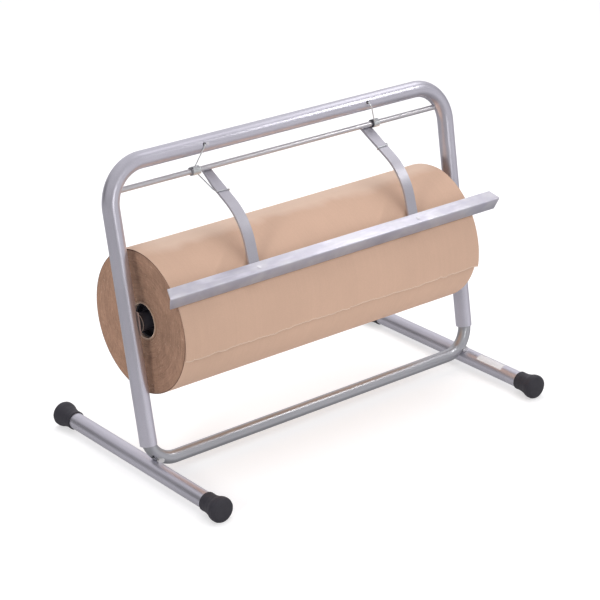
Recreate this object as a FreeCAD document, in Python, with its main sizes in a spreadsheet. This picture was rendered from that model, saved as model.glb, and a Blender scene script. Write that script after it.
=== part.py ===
import FreeCAD, Part
import os, math
import Sketcher
from FreeCAD import Vector as V, Placement, Rotation

# Counter stand for a wide paper roll with a spring-pressed tear bar.
# +X runs along the roll (to the right from the front), -Y is the front, +Z up.
# Origin: centre of the bounding box at floor level. Millimetres.

os.makedirs("parts", exist_ok=True)
doc = FreeCAD.newDocument("paper_stand")

# ------------------------------------------------------------------ sheet
PARAMS = [
    ("lean_deg", 10.52), ("plane_y", -42.7), ("foot_axis_z", 20.5),
    ("hoop_rad", 14.0), ("hoop_bore_rad", 12.8), ("hoop_half_top", 351.4),
    ("hoop_half_bot", 344.4), ("hoop_top_s", 490.6), ("hoop_bend_rad", 65.2),
    ("sleeve_left_s", 42.5), ("sleeve_right_s", 54.0),
    ("rail_rad", 11.0), ("rail_bore_rad", 9.5), ("rail_low_s", 9.5),
    ("rail_bend_rad", 48.4), ("rail_top_s", 132.0), ("rail_out", 1.4),
    ("foot_half", 340.1), ("foot_rad", 14.0), ("foot_bore_rad", 12.2),
    ("foot_len", 410.0), ("cap_lip_y", 180.0), ("cap_end_y", 223.0),
    ("rod_rad", 4.5), ("rod_hole_rad", 4.58), ("rod_y", 42.6), ("rod_z", 463.5),
    ("rod_left", -340.0), ("rod_right", 353.0),
    ("arm_wid", 20.0), ("arm_thk", 4.0), ("arm_left_x", -161.5), ("arm_right_x", 175.5),
    ("bar_leg", 22.0), ("bar_thk", 2.0), ("bar_left", -339.5), ("bar_right", 356.0),
    ("bar_cut_back_left", 9.0), ("bar_cut_low_left", 5.0), ("bar_cut_right", 5.5), ("arm_taper", 4.5),
    ("axle_rad", 5.0), ("plug_bore_rad", 5.08), ("axle_y", 12.5), ("axle_z", 251.0),
    ("axle_half", 335.0),
    ("roll_rad", 117.3), ("roll_core_rad", 32.0), ("roll_left", -319.0),
    ("roll_len", 620.0), ("core_shift", 6.5), ("core_bore_rad", 28.3),
    ("nose_rad", 15.4), ("nose_out", 9.0),
    ("wire_rad", 1.0), ("coil_mid_rad", 6.3), ("coil_pitch", 2.15), ("coil_turns", 5.5),
    ("sheet_gap", 0.3), ("sheet_thk", 0.4),
]
sheet = doc.addObject("Spreadsheet::Sheet", "dims")
for i, (k, v) in enumerate(PARAMS, start=1):
    sheet.set("A%d" % i, k)
    sheet.set("B%d" % i, repr(float(v)))
    sheet.setAlias("B%d" % i, k)
doc.recompute()
P = {k: float(getattr(sheet, k)) for k, _ in PARAMS}

TH = math.radians(P["lean_deg"])
UY, UZ = math.sin(TH), math.cos(TH)          # along the leaning plane, upward
NY, NZ = -math.cos(TH), math.sin(TH)         # its normal, to the front


def plane_pt(x, s, n=0.0):
    return V(x, P["plane_y"] + s * UY + n * NY, P["foot_axis_z"] + s * UZ + n * NZ)


PLANE = Placement(V(0, P["plane_y"], P["foot_axis_z"]), Rotation(V(1, 0, 0), 90.0 - P["lean_deg"]))
kept = []


def expr(obj, prop, e):
    obj.setExpression(prop, e)


def new_body(name, placement=None):
    b = doc.addObject("PartDesign::Body", name)
    b.Label = name
    if placement is not None:
        b.Placement = placement
    return b


def plane_of(body, role):
    for f in body.Origin.OriginFeatures:
        if f.Role == role:
            return f
    raise RuntimeError(role)


def new_sketch(body, name, role, off=None):
    sk = body.newObject("Sketcher::SketchObject", name)
    sk.AttachmentSupport = [(plane_of(body, role), "")]
    sk.MapMode = "FlatFace"
    if off is not None:
        sk.AttachmentOffset = off
    return sk


def circle(sk, cx, cy, r, e=None):
    g = sk.addGeometry(Part.Circle(V(cx, cy, 0), V(0, 0, 1), r), False)
    if abs(cx) < 1e-9 and abs(cy) < 1e-9:
        sk.addConstraint(Sketcher.Constraint("Coincident", g, 3, -1, 1))
    else:
        sk.addConstraint(Sketcher.Constraint("DistanceX", g, 3, cx))
        sk.addConstraint(Sketcher.Constraint("DistanceY", g, 3, cy))
    c = sk.addConstraint(Sketcher.Constraint("Radius", g, r))
    if e:
        sk.setExpression("Constraints[%d]" % c, e)
    return g


def path(sk, segs, close=False):
    """segs: ("L", p, q) or ("A", centre, radius, a0, a1, p, q); joined end to start."""
    ids = []
    for s in segs:
        if s[0] == "L":
            ids.append((sk.addGeometry(Part.LineSegment(V(*s[1], 0), V(*s[2], 0)), False), 1, 2))
        else:
            c, r, a0, a1 = s[1:5]
            arc = Part.ArcOfCircle(Part.Circle(V(c[0], c[1], 0), V(0, 0, 1), r), min(a0, a1), max(a0, a1))
            g = sk.addGeometry(arc, False)
            ids.append((g, 1, 2) if a1 > a0 else (g, 2, 1))
    n = len(ids)
    for i in range(n if close else n - 1):
        a, b = ids[i], ids[(i + 1) % n]
        sk.addConstraint(Sketcher.Constraint("Coincident", a[0], a[2], b[0], b[1]))
    return [i[0] for i in ids]


def fillet_path(pts, radii, closed=False):
    """Polyline with rounded corners as line and arc segments."""
    n = len(pts)
    seg, out = [], []
    info = []
    for i in range(n):
        r = radii[i]
        if r <= 0 or (not closed and i in (0, n - 1)):
            info.append((pts[i], pts[i], None))
            continue
        a, b, c = pts[i - 1], pts[i], pts[(i + 1) % n]
        u = V(a[0] - b[0], a[1] - b[1], 0); u.normalize()
        w = V(c[0] - b[0], c[1] - b[1], 0); w.normalize()
        ang = math.acos(max(-1, min(1, u.dot(w))))
        t = r / math.tan(ang / 2)
        p1 = (b[0] + u.x * t, b[1] + u.y * t)
        p2 = (b[0] + w.x * t, b[1] + w.y * t)
        bis = (u + w); bis.normalize()
        d = r / math.sin(ang / 2)
        cc = (b[0] + bis.x * d, b[1] + bis.y * d)
        a0 = math.atan2(p1[1] - cc[1], p1[0] - cc[0])
        a1 = math.atan2(p2[1] - cc[1], p2[0] - cc[0])
        while a1 - a0 > math.pi: a1 -= 2 * math.pi
        while a1 - a0 < -math.pi: a1 += 2 * math.pi
        info.append((p1, p2, (cc, r, a0, a1)))
    last = n if closed else n - 1
    for i in range(n):
        p1, p2, arc = info[i]
        if arc:
            out.append(("A", arc[0], arc[1], arc[2], arc[3], p1, p2))
        if i < last:
            q = info[(i + 1) % n][0]
            if math.hypot(q[0] - p2[0], q[1] - p2[1]) > 1e-6:
                out.append(("L", p2, q))
    return out


def keep(obj, name):
    obj.Label = name
    kept.append((name, obj))
    return obj


def pad(body, sk, name, length, e=None, mid=False, rev=False):
    f = body.newObject("PartDesign::Pad", name)
    f.Profile = sk
    f.Length = length
    f.Midplane = mid
    f.Reversed = rev
    if e:
        f.setExpression("Length", e)
    return f


def pocket(body, sk, name, length, mid=False, rev=False):
    doc.recompute()
    before = body.Shape.Volume
    f = body.newObject("PartDesign::Pocket", name)
    f.Profile = sk
    f.Type = "Length"
    f.Length = length
    f.Midplane = mid
    f.Reversed = rev
    doc.recompute()
    after = body.Shape.Volume
    if not after < before - 1e-3:
        raise RuntimeError("pocket %s cut nothing" % name)
    return f


def tube_on_path(body, tag, segs, start, r_out, r_in, e_out, e_in):
    """Round tube along a path in the body's XY plane; start is the path's first point."""
    sp = new_sketch(body, tag + "_path", "XY_Plane")
    path(sp, segs)
    off = Placement(V(start[0], 0, -start[1]), Rotation())
    s1 = new_sketch(body, tag + "_outer", "XZ_Plane", off)
    circle(s1, 0, 0, r_out, e_out)
    s2 = new_sketch(body, tag + "_bore", "XZ_Plane", off)
    circle(s2, 0, 0, r_in, e_in)
    doc.recompute()
    p1 = body.newObject("PartDesign::AdditivePipe", tag + "_pipe")
    p1.Profile = s1
    p1.Spine = (sp, ["Edge%d" % (i + 1) for i in range(len(segs))])
    doc.recompute()
    v1 = body.Shape.Volume
    p2 = body.newObject("PartDesign::SubtractivePipe", tag + "_hollow")
    p2.Profile = s2
    p2.Spine = (sp, ["Edge%d" % (i + 1) for i in range(len(segs))])
    doc.recompute()
    if not body.Shape.Volume < 0.9 * v1:
        raise RuntimeError(tag + " is not hollow")
    return s1


# ------------------------------------------------------------------ frame
def leg_x(s):
    k = (P["hoop_half_top"] - P["hoop_half_bot"]) / (P["hoop_top_s"] - P["rail_low_s"])
    return P["hoop_half_bot"] + k * (s - P["rail_low_s"])


sl, sr, st = P["sleeve_left_s"], P["sleeve_right_s"], P["hoop_top_s"]
hoop = new_body("upper_hoop", PLANE)
pts = [(-leg_x(sl), sl), (-P["hoop_half_top"], st), (P["hoop_half_top"], st), (leg_x(sr), sr)]
rb = P["hoop_bend_rad"]
tube_on_path(hoop, "hoop", fillet_path(pts, [0, rb, rb, 0]), pts[0],
             P["hoop_rad"], P["hoop_bore_rad"], "dims.hoop_rad", "dims.hoop_bore_rad")
# holes for the rod through the legs' inner walls
rod_s = (P["rod_y"] - P["plane_y"]) * UY + (P["rod_z"] - P["foot_axis_z"]) * UZ
rod_n = (P["rod_y"] - P["plane_y"]) * NY + (P["rod_z"] - P["foot_axis_z"]) * NZ
sk = new_sketch(hoop, "rod_holes", "YZ_Plane")
circle(sk, rod_s, rod_n, P["rod_hole_rad"], "dims.rod_hole_rad")
pocket(hoop, sk, "rod_hole_cut", 2 * 346.0, mid=True)
# small holes in the rail's front for the springs' upper legs
sk = new_sketch(hoop, "spring_holes", "XY_Plane")
for x in (-171.0, 169.2):
    circle(sk, x, st + 1.4, 2.4)
pocket(hoop, sk, "spring_hole_cut", 20.0, rev=True)
keep(hoop, "upper_hoop")

rail = new_body("lower_u_rail", PLANE)
s0, s1_ = P["rail_low_s"], P["rail_top_s"]
# its legs lie against the outer side of the hoop's bore, so that the bend can start inside the hoop
ro = P["rail_out"]
rail_x0, rail_x1 = P["hoop_half_bot"] + ro, leg_x(s1_) + ro
pts = [(-rail_x1, s1_), (-rail_x0, s0), (rail_x0, s0), (rail_x1, s1_)]
rb = P["rail_bend_rad"]
tube_on_path(rail, "rail", fillet_path(pts, [0, rb, rb, 0]), pts[0],
             P["rail_rad"], P["rail_bore_rad"], "dims.rail_rad", "dims.rail_bore_rad")
keep(rail, "lower_u_rail")

for side, nm in ((-1, "left"), (1, "right")):
    b = new_body(nm + "_foot_tube", Placement(V(side * P["foot_half"], 0, P["foot_axis_z"]), Rotation()))
    sk = new_sketch(b, nm + "_foot_ring", "XZ_Plane")
    circle(sk, 0, 0, P["foot_rad"], "dims.foot_rad")
    circle(sk, 0, 0, P["foot_bore_rad"], "dims.foot_bore_rad")
    pad(b, sk, nm + "_foot_pad", P["foot_len"], "dims.foot_len", mid=True)
    # cope for the U rail's corner: the same sweep as the rail, a little wider
    tilt = Rotation(V(1, 0, 0), 90.0 - P["lean_deg"])
    org = V(-side * P["foot_half"], P["plane_y"], 0)
    sp = new_sketch(b, nm + "_cope_path", "XY_Plane", Placement(org, tilt))
    hi = 90.0
    segs = fillet_path([(side * (leg_x(hi) + ro), hi), (side * rail_x0, P["rail_low_s"]), (side * 270.0, P["rail_low_s"])],
                       [0, P["rail_bend_rad"], 0])
    path(sp, segs)
    top_pt = V(side * (leg_x(hi) + ro - P["foot_half"]), P["plane_y"] + hi * UY, hi * UZ)
    sk = new_sketch(b, nm + "_cope_ring", "XY_Plane", Placement(top_pt, Rotation(V(1, 0, 0), -P["lean_deg"])))
    circle(sk, 0, 0, P["rail_rad"] + 0.1)
    doc.recompute()
    before = b.Shape.Volume
    cp = b.newObject("PartDesign::SubtractivePipe", nm + "_cope")
    cp.Profile = sk
    cp.Spine = (sp, ["Edge%d" % (i + 1) for i in range(len(segs))])
    doc.recompute()
    if not b.Shape.Volume < before - 1.0:
        raise RuntimeError("cope cut nothing")
    keep(b, nm + "_foot_tube")


def cap(name, x, front):
    """Flared rubber end cap, turned about the foot's axis, with a small flat underneath."""
    rot = Rotation(V(0, 0, 1), 180) if front else Rotation()
    b = new_body(name, Placement(V(x, 0, P["foot_axis_z"]), rot))
    y0, y1 = P["cap_lip_y"], P["cap_end_y"]
    sk = new_sketch(b, name + "_half", "YZ_Plane")
    bore = P["foot_rad"] + 0.02
    prof = [(y0, bore), (y0, 15.4), (y0 + 1.0, 16.0), (y0 + 4.5, 16.0), (y0 + 6.0, 15.6),
            (y0 + 15.0, 16.2), (y0 + 23.0, 18.0), (y0 + 29.0, 20.3), (y0 + 32.0, 20.9), (y0 + 37.0, 20.9),
            (y1 - 2.6, 19.4), (y1 - 0.6, 16.0), (y1, 11.0), (y1, 0.0), (y0 + 26.0, 0.0), (y0 + 26.0, bore)]
    segs = [("L", prof[i], prof[(i + 1) % len(prof)]) for i in range(len(prof))]
    path(sk, segs, close=True)
    doc.recompute()
    r = b.newObject("PartDesign::Revolution", name + "_turn")
    r.Profile = sk
    r.ReferenceAxis = (sk, ["H_Axis"])
    r.Angle = 360.0
    doc.recompute()
    sk2 = new_sketch(b, name + "_flat", "XY_Plane", Placement(V(0, 0, -P["foot_axis_z"]), Rotation()))
    path(sk2, [("L", (-30, y0 - 5), (30, y0 - 5)), ("L", (30, y0 - 5), (30, y1 + 5)),
               ("L", (30, y1 + 5), (-30, y1 + 5)), ("L", (-30, y1 + 5), (-30, y0 - 5))], close=True)
    pocket(b, sk2, name + "_flat_cut", 5.0)
    keep(b, name)


cap("left_front_cap", -P["foot_half"], True)
cap("left_rear_cap", -P["foot_half"], False)
cap("right_front_cap", P["foot_half"], True)
cap("right_rear_cap", P["foot_half"], False)

# small weld tabs in front of the U rail's corners
for side, nm in ((-1, "left"), (1, "right")):
    b = new_body(nm + "_weld_tab", Placement(V(side * 333.0, -50.1, 36.4), Rotation(V(0, 1, 0), side * -10.0)))
    sk = new_sketch(b, nm + "_tab_outline", "XZ_Plane")
    path(sk, fillet_path([(-6.0, -3.4), (6.0, -3.4), (6.0, 3.4), (-6.0, 3.4)], [2.6] * 4, closed=True), close=True)
    pad(b, sk, nm + "_tab_pad", 4.0, mid=True)
    keep(b, nm + "_weld_tab")

# slotted cradles for the axle on the legs' inner sides
ax_s = (P["axle_y"] - P["plane_y"]) * UY + (P["axle_z"] - P["foot_axis_z"]) * UZ
ax_n = (P["axle_y"] - P["plane_y"]) * NY + (P["axle_z"] - P["foot_axis_z"]) * NZ
for side, nm in ((-1, "left"), (1, "right")):
    x0 = leg_x(ax_s) - P["hoop_rad"] + 0.35
    b = new_body(nm + "_cradle", PLANE)
    sk = new_sketch(b, nm + "_cradle_outline", "YZ_Plane", Placement(V(0, 0, side * (x0 - 1.5)), Rotation()))
    w = P["axle_rad"] + 0.15
    # plate outline in (s, n): a lug below the axle, open towards the rear and up
    out = [(ax_s - 15, 6.0), (ax_s - 15, ax_n - 9.0), (ax_s - 6, ax_n - 17.0), (ax_s + 4.0, ax_n - 17.0),
           (ax_s + 4.0 + 0.0, ax_n - 11.5)]
    d = math.radians(45.0 - P["lean_deg"])
    ds, dn = math.cos(d), -math.sin(d)          # lift-out direction in (s, n)
    ps, pn = -dn, ds                            # across the slot
    rear_out = (ax_s + ds * 13 - ps * w, ax_n + dn * 13 - pn * w)
    front_out = (ax_s + ds * 16 + ps * w, ax_n + dn * 16 + pn * w)
    poly = [(ax_s - 16, 5.0), (ax_s - 16, ax_n - 6.0), (ax_s - 10, ax_n - 14.5), rear_out]
    a_in0 = (ax_s - ps * w, ax_n - pn * w)
    a_in1 = (ax_s + ps * w, ax_n + pn * w)
    segs = []
    for i in range(len(poly) - 1):
        segs.append(("L", poly[i], poly[i + 1]))
    segs.append(("L", poly[-1], a_in0))
    a0 = math.atan2(a_in0[1] - ax_n, a_in0[0] - ax_s)
    a1 = math.atan2(a_in1[1] - ax_n, a_in1[0] - ax_s)
    mid = math.atan2(-dn, -ds)
    # arc round the closed end of the slot
    cand = []
    for k in (-2, 0, 2):
        aa = a1 + k * math.pi
        if abs(abs(aa - a0) - math.pi) < 1e-6:
            m = (a0 + aa) / 2
            if math.cos(m - mid) > 0.9:
                cand.append(aa)
    a1 = cand[0]
    segs.append(("A", (ax_s, ax_n), w, a0, a1, a_in0, a_in1))
    tail = [a_in1, front_out, (ax_s + 22, 0.0), (ax_s + 20, 5.0), poly[0]]
    for i in range(len(tail) - 1):
        segs.append(("L", tail[i], tail[i + 1]))
    path(sk, segs, close=True)
    pad(b, sk, nm + "_cradle_pad", 3.0, mid=True)
    keep(b, nm + "_cradle")

# blank sticker on the right foot's crown
b = new_body("foot_sticker", Placement(V(P["foot_half"], -113.0, P["foot_axis_z"]), Rotation(V(0, 1, 0), 0)))
sk = new_sketch(b, "sticker_half", "YZ_Plane")
path(sk, [("L", (-30, 14.02), (30, 14.02)), ("L", (30, 14.02), (30, 14.17)),
          ("L", (30, 14.17), (-30, 14.17)), ("L", (-30, 14.17), (-30, 14.02))], close=True)
doc.recompute()
r = b.newObject("PartDesign::Revolution", "sticker_turn")
r.Profile = sk
r.ReferenceAxis = (sk, ["H_Axis"])
r.Angle = 60.0
r.Midplane = True
b.Placement = Placement(V(P["foot_half"], -113.0, P["foot_axis_z"]), Rotation(V(0, 1, 0), -20.0))
keep(b, "foot_sticker")

# ------------------------------------------------------------------ cutter
RY, RZ = P["rod_y"], P["rod_z"]
b = new_body("pivot_rod", Placement(V(P["rod_left"], RY, RZ), Rotation()))
sk = new_sketch(b, "rod_ring", "YZ_Plane")
circle(sk, 0, 0, P["rod_rad"], "dims.rod_rad")
pad(b, sk, "rod_pad", P["rod_right"] - P["rod_left"], "dims.rod_right - dims.rod_left")
keep(b, "pivot_rod")

# tear bar: angle with its ridge to the front
PHI = math.radians(21.0)
FU = (math.cos(PHI), math.sin(PHI))          # ridge to the upper edge, in (y, z)
FD = (math.sin(PHI), -math.cos(PHI))         # ridge to the lower edge
RIDGE = (-99.2, 330.9)
lg, tk = P["bar_leg"], P["bar_thk"]


def at(o, a, u, c=0.0, w=(0, 0)):
    return (o[0] + a * u[0] + c * w[0], o[1] + a * u[1] + c * w[1])


bar = new_body("cutter_bar", Placement(V(P["bar_left"], 0, 0), Rotation()))
sk = new_sketch(bar, "bar_section", "YZ_Plane")
bar_poly = [RIDGE, at(RIDGE, lg, FU), at(RIDGE, lg, FU, tk, FD), at(RIDGE, tk, FU, tk, FD),
            at(RIDGE, tk, FU, lg, FD), at(RIDGE, lg, FD)]
path(sk, fillet_path(bar_poly, [2.2, 0, 0, 0.4, 0, 0], closed=True), close=True)
pad(bar, sk, "bar_pad", P["bar_right"] - P["bar_left"], "dims.bar_right - dims.bar_left")
# both ends run out to a point at the ridge: each flange is cut obliquely
blen = P["bar_right"] - P["bar_left"]
for tag, ang, cl_, cr_ in (("upper", math.degrees(PHI), P["bar_cut_back_left"], P["bar_cut_right"]),
                           ("lower", math.degrees(PHI) - 90.0, P["bar_cut_low_left"], P["bar_cut_right"])):
    for end, o_, k, c_ in (("left", 0.0, 1.0, cl_), ("right", blen, -1.0, cr_)):
        sk = new_sketch(bar, "bar_%s_%s_tri" % (tag, end), "XY_Plane",
                        Placement(V(0, RIDGE[0], RIDGE[1]), Rotation(V(1, 0, 0), ang)))
        tri = [(-0.2, -0.2 * lg / c_), (1.2 * c_, 1.2 * lg), (-2.0, 1.2 * lg), (-2.0, -0.2 * lg / c_)]
        tri = [(o_ + k * a, b_) for a, b_ in tri]
        path(sk, [("L", tri[i], tri[(i + 1) % 4]) for i in range(4)], close=True)
        pocket(bar, sk, "bar_%s_%s_cut" % (tag, end), 10.0, mid=True)
keep(bar, "cutter_bar")

# arms: strip under the rod, over the roll and down to a tab beneath the bar's upper flange
A1 = math.radians(27.8)
d1 = (-math.cos(A1), -math.sin(A1))
n1 = (-math.sin(A1), math.cos(A1))
off = P["rod_rad"] - 0.05
T0 = (RY - n1[0] * off - d1[0] * 4.0, RZ - n1[1] * off - d1[1] * 4.0)
A2 = math.radians(73.0)
d2 = (-math.cos(A2), -math.sin(A2))
UPPER = at(RIDGE, lg, FU)
INNER = at(RIDGE, lg, FU, tk, FD)
Q = (INNER[0] + 0.3, INNER[1])


def meet(p, u, q, w):
    den = u[0] * w[1] - u[1] * w[0]
    t = ((q[0] - p[0]) * w[1] - (q[1] - p[1]) * w[0]) / den
    return (p[0] + t * u[0], p[1] + t * u[1])


CA = meet(T0, d1, Q, d2)
und = at(RIDGE, 0, FU, tk, FD)               # a point on the flange's underside line
CB = meet(Q, d2, und, FU)
TE = at(RIDGE, 6.5, FU, tk, FD)
thk = P["arm_thk"]


def offset_poly(pl, dist):
    """Offset an open polyline to its right-hand side."""
    res = []
    for i, p in enumerate(pl):
        dirs = []
        if i > 0:
            dirs.append((pl[i][0] - pl[i - 1][0], pl[i][1] - pl[i - 1][1]))
        if i < len(pl) - 1:
            dirs.append((pl[i + 1][0] - pl[i][0], pl[i + 1][1] - pl[i][1]))
        ns = []
        for dx, dy in dirs:
            L = math.hypot(dx, dy)
            ns.append((-dy / L, dx / L))
        if len(ns) == 1:
            res.append((p[0] + ns[0][0] * dist, p[1] + ns[0][1] * dist))
        else:
            mx, my = ns[0][0] + ns[1][0], ns[0][1] + ns[1][1]
            k = 1 + ns[0][0] * ns[1][0] + ns[0][1] * ns[1][1]
            res.append((p[0] + mx / k * dist, p[1] + my / k * dist))
    return res


top = [T0, CA, CB, TE]
low = offset_poly(top, thk)
RA, RB = 102.0, 0.5
for nm, xc in (("left", P["arm_left_x"]), ("right", P["arm_right_x"])):
    b = new_body(nm + "_arm", Placement(V(xc, 0, 0), Rotation()))
    sk = new_sketch(b, nm + "_arm_side", "YZ_Plane")
    loop = top + low[::-1]
    path(sk, fillet_path(loop, [0, RA, RB, 0, 0, RB + thk, RA - thk, 0], closed=True), close=True)
    pad(b, sk, nm + "_arm_pad", P["arm_wid"], "dims.arm_wid", mid=True)
    if nm == "left":
        # narrower towards the rod, to make room for the spring
        sk = new_sketch(b, "left_arm_wedge", "XY_Plane",
                        Placement(V(0, T0[0], T0[1]), Rotation(V(1, 0, 0), 180.0 + math.degrees(A1))))
        hw_, tp = P["arm_wid"] / 2, P["arm_taper"]
        tri = [(-hw_ - 2.0, -2.0), (-hw_ + tp, -2.0), (-hw_ + tp, 2.0), (-hw_ - 0.2, 43.0), (-hw_ - 2.0, 43.0)]
        path(sk, [("L", tri[i], tri[(i + 1) % 5]) for i in range(5)], close=True)
        pocket(b, sk, "left_arm_taper", 30.0, mid=True)
    keep(b, nm + "_arm")

# rivet heads above and below the bar's upper flange
heads = []
for xc in (P["arm_left_x"], P["arm_right_x"]):
    c = at(RIDGE, 10.2, FU)
    up = V(0, -FD[0], -FD[1])
    dome = Part.makeCylinder(3.6, 0.9, V(xc, c[0], c[1]), up).fuse(
        Part.makeCylinder(2.6, 1.4, V(xc, c[0], c[1]), up)).removeSplitter()
    c2 = at(RIDGE, 10.2, FU, tk + thk, FD)
    tail = Part.makeCylinder(3.0, 1.0, V(xc, c2[0], c2[1]), V(0, FD[0], FD[1]))
    heads += [dome, tail]
riv = doc.addObject("Part::Feature", "arm_rivets")
riv.Shape = Part.makeCompound(heads)
keep(riv, "arm_rivets")

# rings on the rod beside the coils
rings = []
for x0_ in (-193.2, 185.7):
    rings.append(Part.makeCylinder(6.9, 1.6, V(x0_, RY, RZ), V(1, 0, 0)).cut(
        Part.makeCylinder(P["rod_rad"], 3.0, V(x0_ - 0.5, RY, RZ), V(1, 0, 0))))
rr = doc.addObject("Part::Feature", "rod_rings")
rr.Shape = Part.makeCompound(rings)
keep(rr, "rod_rings")


def wire_run(points, bend, r):
    """Round wire along a 3-D polyline with rounded corners."""
    edges = []
    prev = points[0]
    n = len(points)
    for i in range(1, n - 1):
        a, bb, c = points[i - 1], points[i], points[i + 1]
        u = (a - bb); lu = u.Length; u.normalize()
        w = (c - bb); lw = w.Length; w.normalize()
        ang = u.getAngle(w)
        t = min(bend / math.tan(ang / 2), lu * 0.45, lw * 0.45)
        rad = t * math.tan(ang / 2)
        p1, p2 = bb + u * t, bb + w * t
        bis = u + w
        if bis.Length < 1e-6:
            continue
        bis.normalize()
        cc = bb + bis * (rad / math.sin(ang / 2))
        m = cc + (bb - cc).normalize() * rad
        if (p1 - prev).Length > 1e-6:
            edges.append(Part.makeLine(prev, p1))
        edges.append(Part.Arc(p1, m, p2).toShape())
        prev = p2
    edges.append(Part.makeLine(prev, points[-1]))
    spine = Part.Wire(edges)
    dirv = (points[1] - points[0]).normalize()
    prof = Part.Wire([Part.makeCircle(r, points[0], dirv)])
    sh = spine.makePipeShell([prof], True, False)
    return sh


def coil(x0_, turns, r_mid, pitch, wire, hand_left):
    h = Part.makeHelix(pitch, pitch * turns, r_mid, 0, hand_left)
    prof = Part.Wire([Part.makeCircle(wire, V(r_mid, 0, 0), V(0, 1, 0))])
    sh = Part.Wire(h.Edges).makePipeShell([prof], True, True)
    # helix axis +Z to +X, start point of the helix to the rod's top
    sh.Placement = Placement(V(x0_, RY, RZ), Rotation(V(0, 0, 1), V(1, 0, 0)))
    return sh


wr, cm_, cp, ct = P["wire_rad"], P["coil_mid_rad"], P["coil_pitch"], P["coil_turns"]


def helix_end(sh, x_end):
    """Centre of the coil's end face nearest to x_end."""
    best = None
    for f in sh.Faces:
        if f.Surface.TypeId == "Part::GeomPlane":
            c = f.CenterOfMass
            if best is None or abs(c.x - x_end) < abs(best.x - x_end):
                best = c
    return best


for nm, x_lo, hole_x in (("left", -190.1, -171.0), ("right", 188.7, 169.2)):
    sh = coil(x_lo, ct + (1.0 if nm == "left" else 0.0), cm_, cp, wr, False)
    e0 = helix_end(sh, x_lo)
    # turn the coil so that it begins at the front of the rod, a little above its middle
    ang0 = math.degrees(math.atan2(e0.z - RZ, e0.y - RY))
    a_st = 160.0
    sh.rotate(V(0, RY, RZ), V(1, 0, 0), a_st - ang0)
    e0 = helix_end(sh, x_lo)
    # upper leg: straight up before the rail, then into its hole
    tang = V(0, math.sin(math.radians(a_st)), -math.cos(math.radians(a_st)))
    hs = P["hoop_top_s"] + 1.4
    mouth = plane_pt(hole_x, hs, P["hoop_rad"] + 2.7)
    inner = plane_pt(hole_x, hs, P["hoop_rad"] - 5.5)
    # the right one stands off the rail a little lower before it turns up and in
    via = [] if nm == "left" else [plane_pt(171.7, 483.6, 20.0)]
    leg = wire_run([e0, e0 + tang * 3.0] + via + [mouth, inner], 2.2, wr)
    fused = sh.fuse(leg)
    if not (fused.isValid() and len(fused.Solids) == 1):
        raise RuntimeError(nm + " spring did not fuse")
    coilf = doc.addObject("Part::Feature", nm + "_spring_coil")
    coilf.Shape = fused
    keep(coilf, nm + "_spring_coil")
    # lower leg: beside the arm, then across its top face and down past the other edge
    xa = P["arm_left_x"] if nm == "left" else P["arm_right_x"]
    hw = P["arm_wid"] / 2
    sgn = -1 if nm == "left" else 1

    def along(dist, up):
        return (T0[0] + d1[0] * dist + n1[0] * up, T0[1] + d1[1] * dist + n1[1] * up)
    xs = -174.0 if nm == "left" else xa + hw + wr + 0.4
    # the left one comes out from under the coil and runs in to the arm's edge
    x_top = -176.6 if nm == "left" else xs
    first = along(4.0, -4.3) if nm == "left" else along(10.4, up_s)
    up_s = -1.9 if nm == "left" else -3.0
    hook = 54.0
    xe = xa - sgn * (hw + wr + 0.9)
    top_up = wr + 0.15
    run = [V(x_top, *first), V(xs, *along(hook - 9.0, up_s)), V(xs - sgn * 0.2, *along(hook - 0.5, top_up)),
           V(xe, *along(hook + 0.5, top_up)), V(xe, *along(hook + 1.0, -3.6))]
    lg_ = wire_run(run, 1.4, wr)
    legf = doc.addObject("Part::Feature", nm + "_spring_leg")
    legf.Shape = lg_
    keep(legf, nm + "_spring_leg")

# ------------------------------------------------------------------ roll
AY, AZ = P["axle_y"], P["axle_z"]
b = new_body("axle_rod", Placement(V(-P["axle_half"], AY, AZ), Rotation()))
sk = new_sketch(b, "axle_ring", "YZ_Plane")
circle(sk, 0, 0, P["axle_rad"], "dims.axle_rad")
pad(b, sk, "axle_pad", 2 * P["axle_half"], "2 * dims.axle_half")
c = b.newObject("PartDesign::Chamfer", "axle_ends")
doc.recompute()
ends = ["Edge%d" % (i + 1) for i, e in enumerate(doc.getObject("axle_pad").Shape.Edges)
        if hasattr(e.Curve, "Radius")]
c.Base = (doc.getObject("axle_pad"), ends)
c.Size = 0.8
keep(b, "axle_rod")


def turned(name, prof):
    """Body turned about the axle's line from a half profile in (x, r)."""
    b = new_body(name, Placement(V(0, AY, AZ), Rotation()))
    sk = new_sketch(b, name + "_half", "XZ_Plane")
    path(sk, [("L", prof[i], prof[(i + 1) % len(prof)]) for i in range(len(prof))], close=True)
    doc.recompute()
    r = b.newObject("PartDesign::Revolution", name + "_turn")
    r.Profile = sk
    r.ReferenceAxis = (sk, ["H_Axis"])
    r.Angle = 360.0
    keep(b, name)
    return b


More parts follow.
